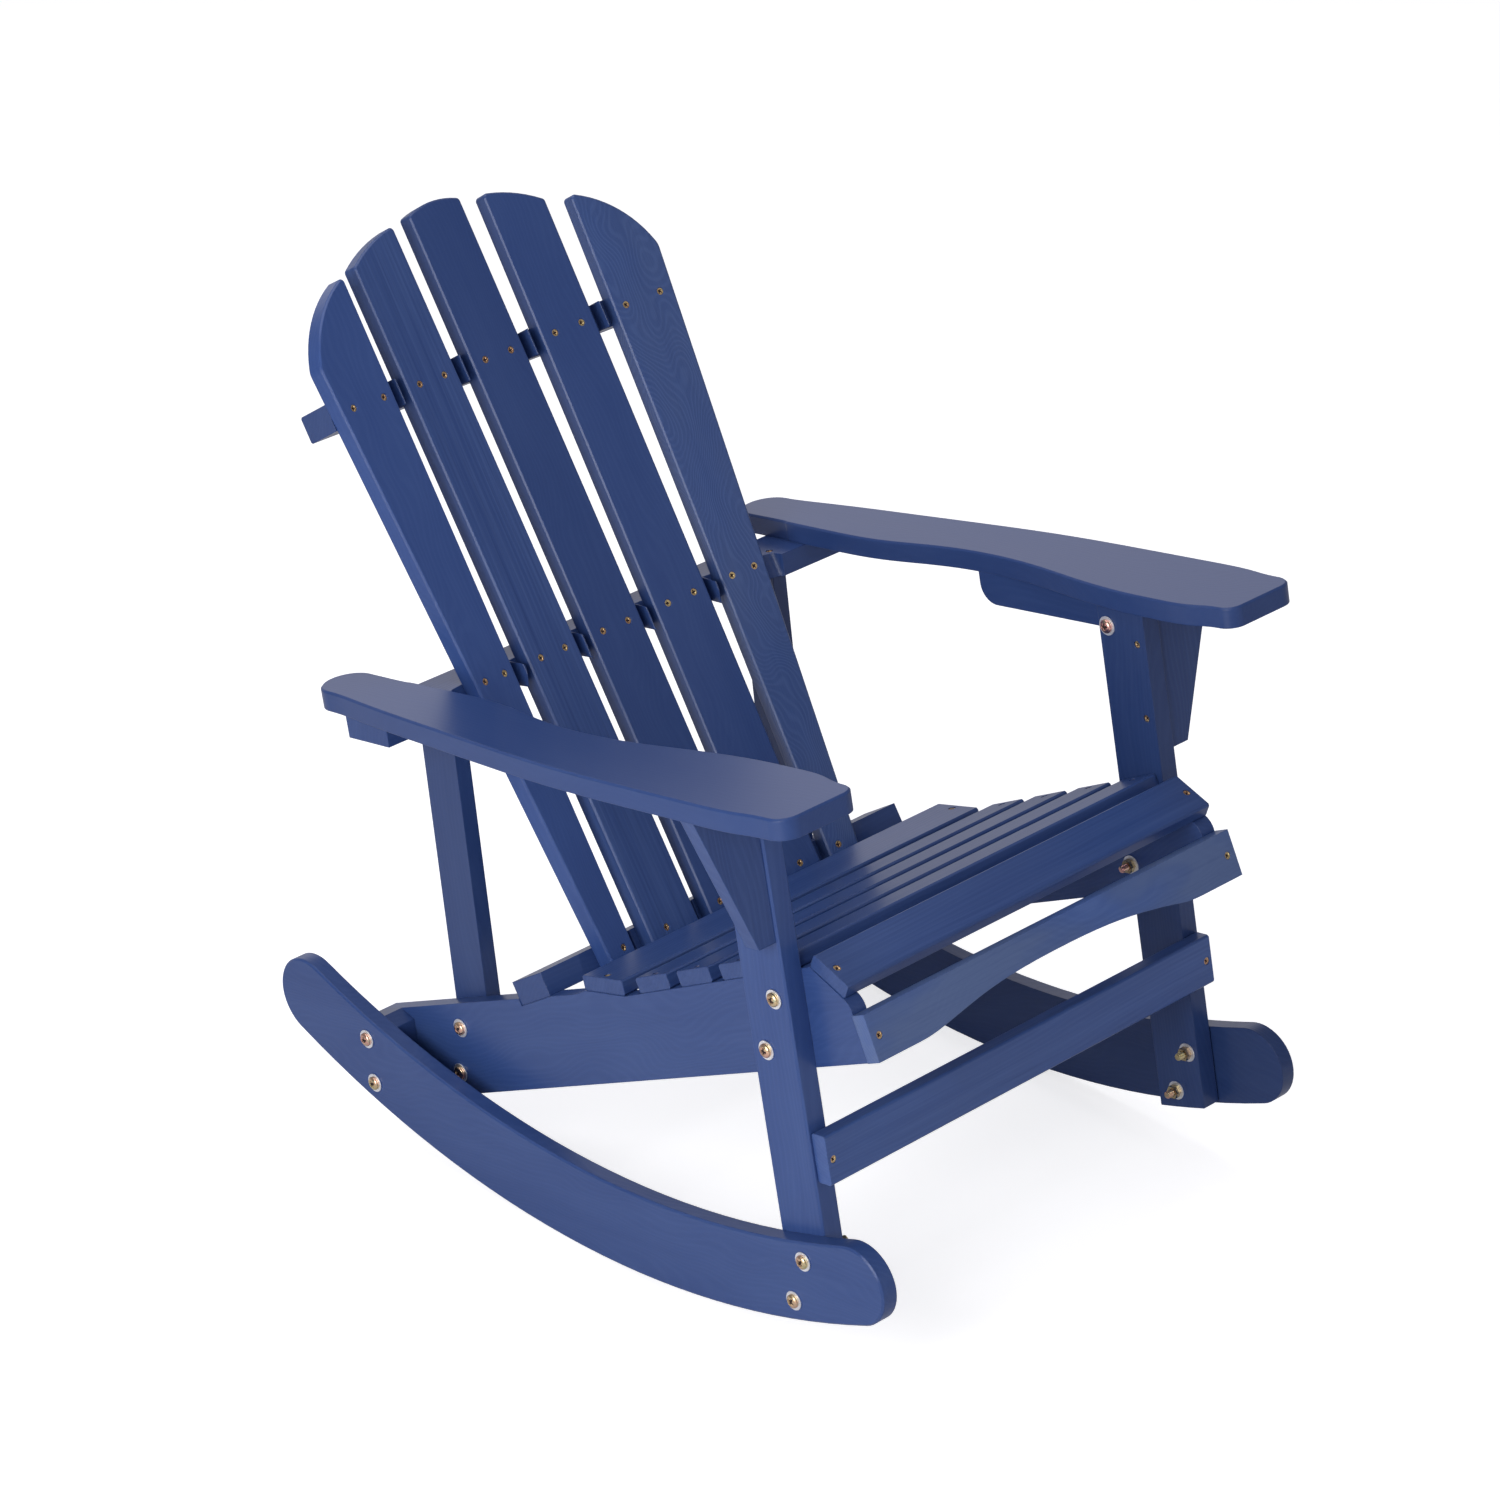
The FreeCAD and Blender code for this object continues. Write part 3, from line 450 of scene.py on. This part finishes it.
def coat(piece, material):
    piece.data.materials.clear()
    piece.data.materials.append(material)


def paint_boards():
    for seed, (name, piece) in enumerate(sorted(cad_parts.items())):
        start = next((key for key in GRAIN if name.startswith(key)), None)
        if start is not None:
            along, across, *strengths = GRAIN[start]
            coat(piece, painted_wood("paint_" + name, along, across, seed, *strengths))


# Fasteners, drawn round the places of the plain ones in the CAD part
def separate_solids(piece):
    """The corner points of each separate solid in a piece."""
    mesh = bmesh.new()
    mesh.from_mesh(piece.data)
    bmesh.ops.remove_doubles(mesh, verts=mesh.verts, dist=1e-6)
    waiting = set(mesh.verts)
    solids = []
    for start in list(mesh.verts):
        if start not in waiting:
            continue
        waiting.remove(start)
        found = [start]
        for vert in found:
            for edge in vert.link_edges:
                other = edge.other_vert(vert)
                if other in waiting:
                    waiting.remove(other)
                    found.append(other)
        solids.append([vert.co.copy() for vert in found])
    mesh.free()
    return solids


def box_of(points):
    low = Vector([min(point[axis] for point in points) for axis in range(3)])
    high = Vector([max(point[axis] for point in points) for axis in range(3)])
    return low, high


def mean(points):
    return sum(points, Vector()) / len(points)


def smooth(value):
    value = min(max(value, 0.0), 1.0)
    return value * value * (3 - 2 * value)


def cross_dent(x, y, recess):
    """How far inside a cross recess a point of a head lies, from 0 to 1."""
    half_width = recess["half_width"]
    reach = recess["reach"]
    arms = []
    for side, run in ((x, y), (y, x)):
        narrow = half_width * (CROSS_WIDTH - CROSS_TAPER * abs(run) / reach)
        in_width = smooth((narrow - abs(side)) / half_width * CROSS_WALL + 0.5)
        in_length = smooth((reach - abs(run)) / reach * CROSS_END)
        arms.append(in_width * in_length)
    return max(arms)


class Skin:
    """A growing mesh of rings laid round axes."""

    def __init__(self):
        self.points = []
        self.faces = []
        self.shades = []

    def lay_ring(self, place, turn, radius, height, sides, spin, recess):
        """One ring's points, sunk where they lie in the recess. A ring of no radius is one point."""
        row = []
        for step in range(sides if radius > 0 else 1):
            angle = 2 * math.pi * step / sides
            x = radius * math.cos(angle)
            y = radius * math.sin(angle)
            sunk = 0.0
            level = height
            if recess and height >= recess["start"]:
                sunk = cross_dent(x, y, recess)
                level = height - sunk * recess["depth"]
            spun_x = x * math.cos(spin) - y * math.sin(spin)
            spun_y = x * math.sin(spin) + y * math.cos(spin)
            row.append(len(self.points))
            self.points.append(place + turn @ Vector((spun_x, spun_y, level)))
            self.shades.append(sunk)
        return row

    def lay(self, place, facing, rings, sides, spin=0.0, recess=None, looped=False):
        """A round body of rings, each a radius and a height. A looped one ends where it starts."""
        turn = facing.to_track_quat("Z", "Y")
        rows = [self.lay_ring(place, turn, *ring, sides, spin, recess) for ring in rings]
        following = rows[1:] + (rows[:1] if looped else [])
        for one, two in zip(rows, following):
            for step in range(sides):
                around = ((one, step), (two, step), (two, step + 1), (one, step + 1))
                corners = [row[at % len(row)] for row, at in around]
                # Beside a ring of one point, that point comes twice and the face is a triangle
                self.faces.append(tuple(dict.fromkeys(corners)))

    def make(self, name, node, material):
        mesh = bpy.data.meshes.new(name)
        mesh.from_pydata(self.points, [], self.faces)
        mesh.shade_smooth()
        mesh.set_sharp_from_angle(angle=SHARP_ANGLE)
        mesh.attributes.new("recess", "FLOAT", "POINT").data.foreach_set("value", self.shades)
        mesh.materials.append(material)
        piece = bpy.data.objects.new(name, mesh)
        bpy.context.scene.collection.objects.link(piece)
        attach(piece, "root")
        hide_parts(node)


def domed_head(radius, height, rim):
    """A domed head's rings, from its middle outward and down to its seat."""
    rings = []
    for step in range(DOME_STEPS + 1):
        share = step / DOME_STEPS
        level = rim + (height - rim) * math.sqrt(1 - (share * DOME_FULLNESS) ** 2)
        rings.append((radius * share, level))
    return rings + [(radius, rim * RIM_LEVEL), (radius * SEAT_WIDTH, 0.0)]


def threaded_shank(length):
    """A shank's rings, from under the head down to its tip's middle."""
    thread_start = THREAD_RUN - length
    rings = [(BOLT_RADIUS, 0.0), (BOLT_RADIUS, thread_start)]
    for turn in range(int(THREAD_RUN / THREAD_PITCH)):
        level = thread_start - turn * THREAD_PITCH
        rings.append((BOLT_RADIUS, level - THREAD_PITCH * THREAD_CREST))
        rings.append((THREAD_GROOVE_RADIUS, level - THREAD_PITCH * THREAD_GROOVE))
    return rings + [(THREAD_END_RADIUS, BOLT_TIP - length), (BOLT_TIP_RADIUS, -length), (0.0, -length)]


def draw_bolts():
    skin = Skin()
    head_rings = domed_head(BOLT_HEAD_RADIUS, BOLT_HEAD, BOLT_HEAD_RIM)
    for index, points in enumerate(separate_solids(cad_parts["frame_bolts"])):
        low, high = box_of(points)
        middle = (low + high) / 2
        # The head is on the side of the point that lies farthest from the axis
        widest = max(points, key=lambda point: (point - middle).yz.length)
        side = 1 if widest.x > middle.x else -1
        top = high.x if side > 0 else low.x
        seat = Vector((top - side * BOLT_HEAD, middle.y, middle.z))
        rings = head_rings + threaded_shank(high.x - low.x - BOLT_HEAD)
        skin.lay(seat, ACROSS * side, rings, BOLT_SIDES, index * BOLT_SPIN, BOLT_RECESS)
    skin.make("bolts_round", "frame_bolts", metal_of_bolts())


def draw_washers():
    skin = Skin()
    for points in separate_solids(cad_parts["bolt_washers"]):
        low, high = box_of(points)
        middle = (low + high) / 2
        thick = high.x - low.x
        rings = [
            (WASHER_HOLE_RADIUS, 0.0),
            (WASHER_HOLE_RADIUS, thick),
            (WASHER_FACE_RADIUS, thick),
            (WASHER_STEP_RADIUS, thick - WASHER_STEP_DROP),
            (WASHER_RADIUS, thick - WASHER_RIM_DROP),
            (WASHER_RADIUS, WASHER_FOOT_RISE),
            (WASHER_FOOT_RADIUS, 0.0),
        ]
        place = Vector((low.x, middle.y, middle.z))
        skin.lay(place, ACROSS, rings, WASHER_SIDES, looped=True)
    material = plain_metal("washer_zinc", WASHER_LIGHT, WASHER_GREY, roughness=0.42)
    skin.make("washers_round", "bolt_washers", material)


def screw_direction(points):
    """The way from a plain screw's tip to its head."""
    pairs = ((one, two) for one in points for two in points)
    one, two = max(pairs, key=lambda pair: (pair[0] - pair[1]).length)
    rough = (one - two).normalized()
    levels = [point.dot(rough) for point in points]
    upper = [point for point in points if point.dot(rough) > max(levels) - END_RING]
    lower = [point for point in points if point.dot(rough) < min(levels) + END_RING]
    upper_middle = mean(upper)
    lower_middle = mean(lower)
    along = (upper_middle - lower_middle).normalized()
    upper_width = max((point - upper_middle).length for point in upper)
    lower_width = max((point - lower_middle).length for point in lower)
    # The head is wider than the tip
    return along if upper_width >= lower_width else -along


def draw_screws():
    skin = Skin()
    rings = [(SCREW_HEAD_RADIUS * step / HEAD_STEPS, 0.0) for step in range(HEAD_STEPS + 1)]
    rings += [
        (SCREW_HEAD_RADIUS, -SCREW_HEAD_RIM),
        (SCREW_RADIUS, -SCREW_HEAD),
        (SCREW_RADIUS, -SCREW_SHANK),
        (0.0, -SCREW_LENGTH),
    ]
    for index, points in enumerate(separate_solids(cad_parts["wood_screws"])):
        facing = screw_direction(points)
        highest = max(points, key=lambda point: point.dot(facing))
        top = mean([point for point in points if (highest - point).dot(facing) < HEAD_RING])
        skin.lay(top, facing, rings, SCREW_SIDES, index * SCREW_SPIN, SCREW_RECESS)
    skin.make("screws_round", "wood_screws", metal_of_screws())


def dress_fasteners():
    draw_bolts()
    draw_washers()
    draw_screws()
    coat(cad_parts["bolt_nuts"], plain_metal("nut_zinc", NUT_GOLD, NUT_BROWN, roughness=0.2))


# Floor, lights and world
def add_stage():
    mesh = bpy.data.meshes.new("floor")
    corners = [(x * FLOOR_REACH, y * FLOOR_REACH, 0) for x, y in ((-1, -1), (1, -1), (1, 1), (-1, 1))]
    mesh.from_pydata(corners, [], [(0, 1, 2, 3)])
    floor = bpy.data.objects.new("floor", mesh)
    bpy.context.scene.collection.objects.link(floor)
    floor.location = (0, 0, -FLOOR_DROP)
    white = Material("floor_white")
    white.give("Base Color", FLOOR_COLOUR)
    white.give("Roughness", FLOOR_ROUGHNESS)
    seen = white.add("LightPath").outputs["Is Camera Ray"]
    strength = white.maths("MULTIPLY", seen, FLOOR_GLOW)
    glow = white.add("Emission", {"Color": WHITE, "Strength": strength})
    both = white.add("AddShader", {0: white.shader.outputs[0], 1: glow.outputs[0]})
    white.join(both.outputs[0], white.tree.nodes["Material Output"].inputs["Surface"])
    mesh.materials.append(white.owner)


def add_lights():
    for name, (place, size, watts, colour) in LIGHTS.items():
        data = bpy.data.lights.new(name, "AREA")
        data.shape = "RECTANGLE"
        data.size, data.size_y = size
        data.energy = watts
        data.color = colour
        light = bpy.data.objects.new(name, data)
        light.location = place
        way = Vector(LIGHT_TARGET) - Vector(place)
        light.rotation_euler = way.to_track_quat("-Z", "Y").to_euler()
        bpy.context.scene.collection.objects.link(light)


def add_world():
    """A white wall behind the chair, seen in the paint's sheen, and dim air in front of it."""
    world = Nodes(bpy.data.worlds.new("studio"))
    place = world.add("TexCoord").outputs["Generated"]
    facing = world.dot(place, Vector(WALL_DIRECTION).normalized())
    span = {"From Min": WALL_EDGE, "From Max": WALL_FULL, "To Min": WORLD_DIM, "To Max": WORLD_WALL}
    wall = world.add("MapRange", {"Value": facing, **span}, interpolation_type="SMOOTHSTEP")
    light = world.tree.nodes["Background"]
    world.join(WORLD_COLOUR, light.inputs["Color"])
    world.join(wall.outputs["Result"], light.inputs["Strength"])
    white = world.add("Background", {"Color": WHITE, "Strength": 1.0})
    seen = world.add("LightPath").outputs["Is Camera Ray"]
    both = world.add("MixShader", {0: seen, 1: light.outputs[0], 2: white.outputs[0]})
    world.join(both.outputs[0], world.tree.nodes["World Output"].inputs["Surface"])
    bpy.context.scene.world = world.owner


add_camera()
paint_boards()
dress_fasteners()
add_stage()
add_lights()
add_world()
bpy.context.scene.view_settings.view_transform = "Standard"
bpy.context.view_layer.update()
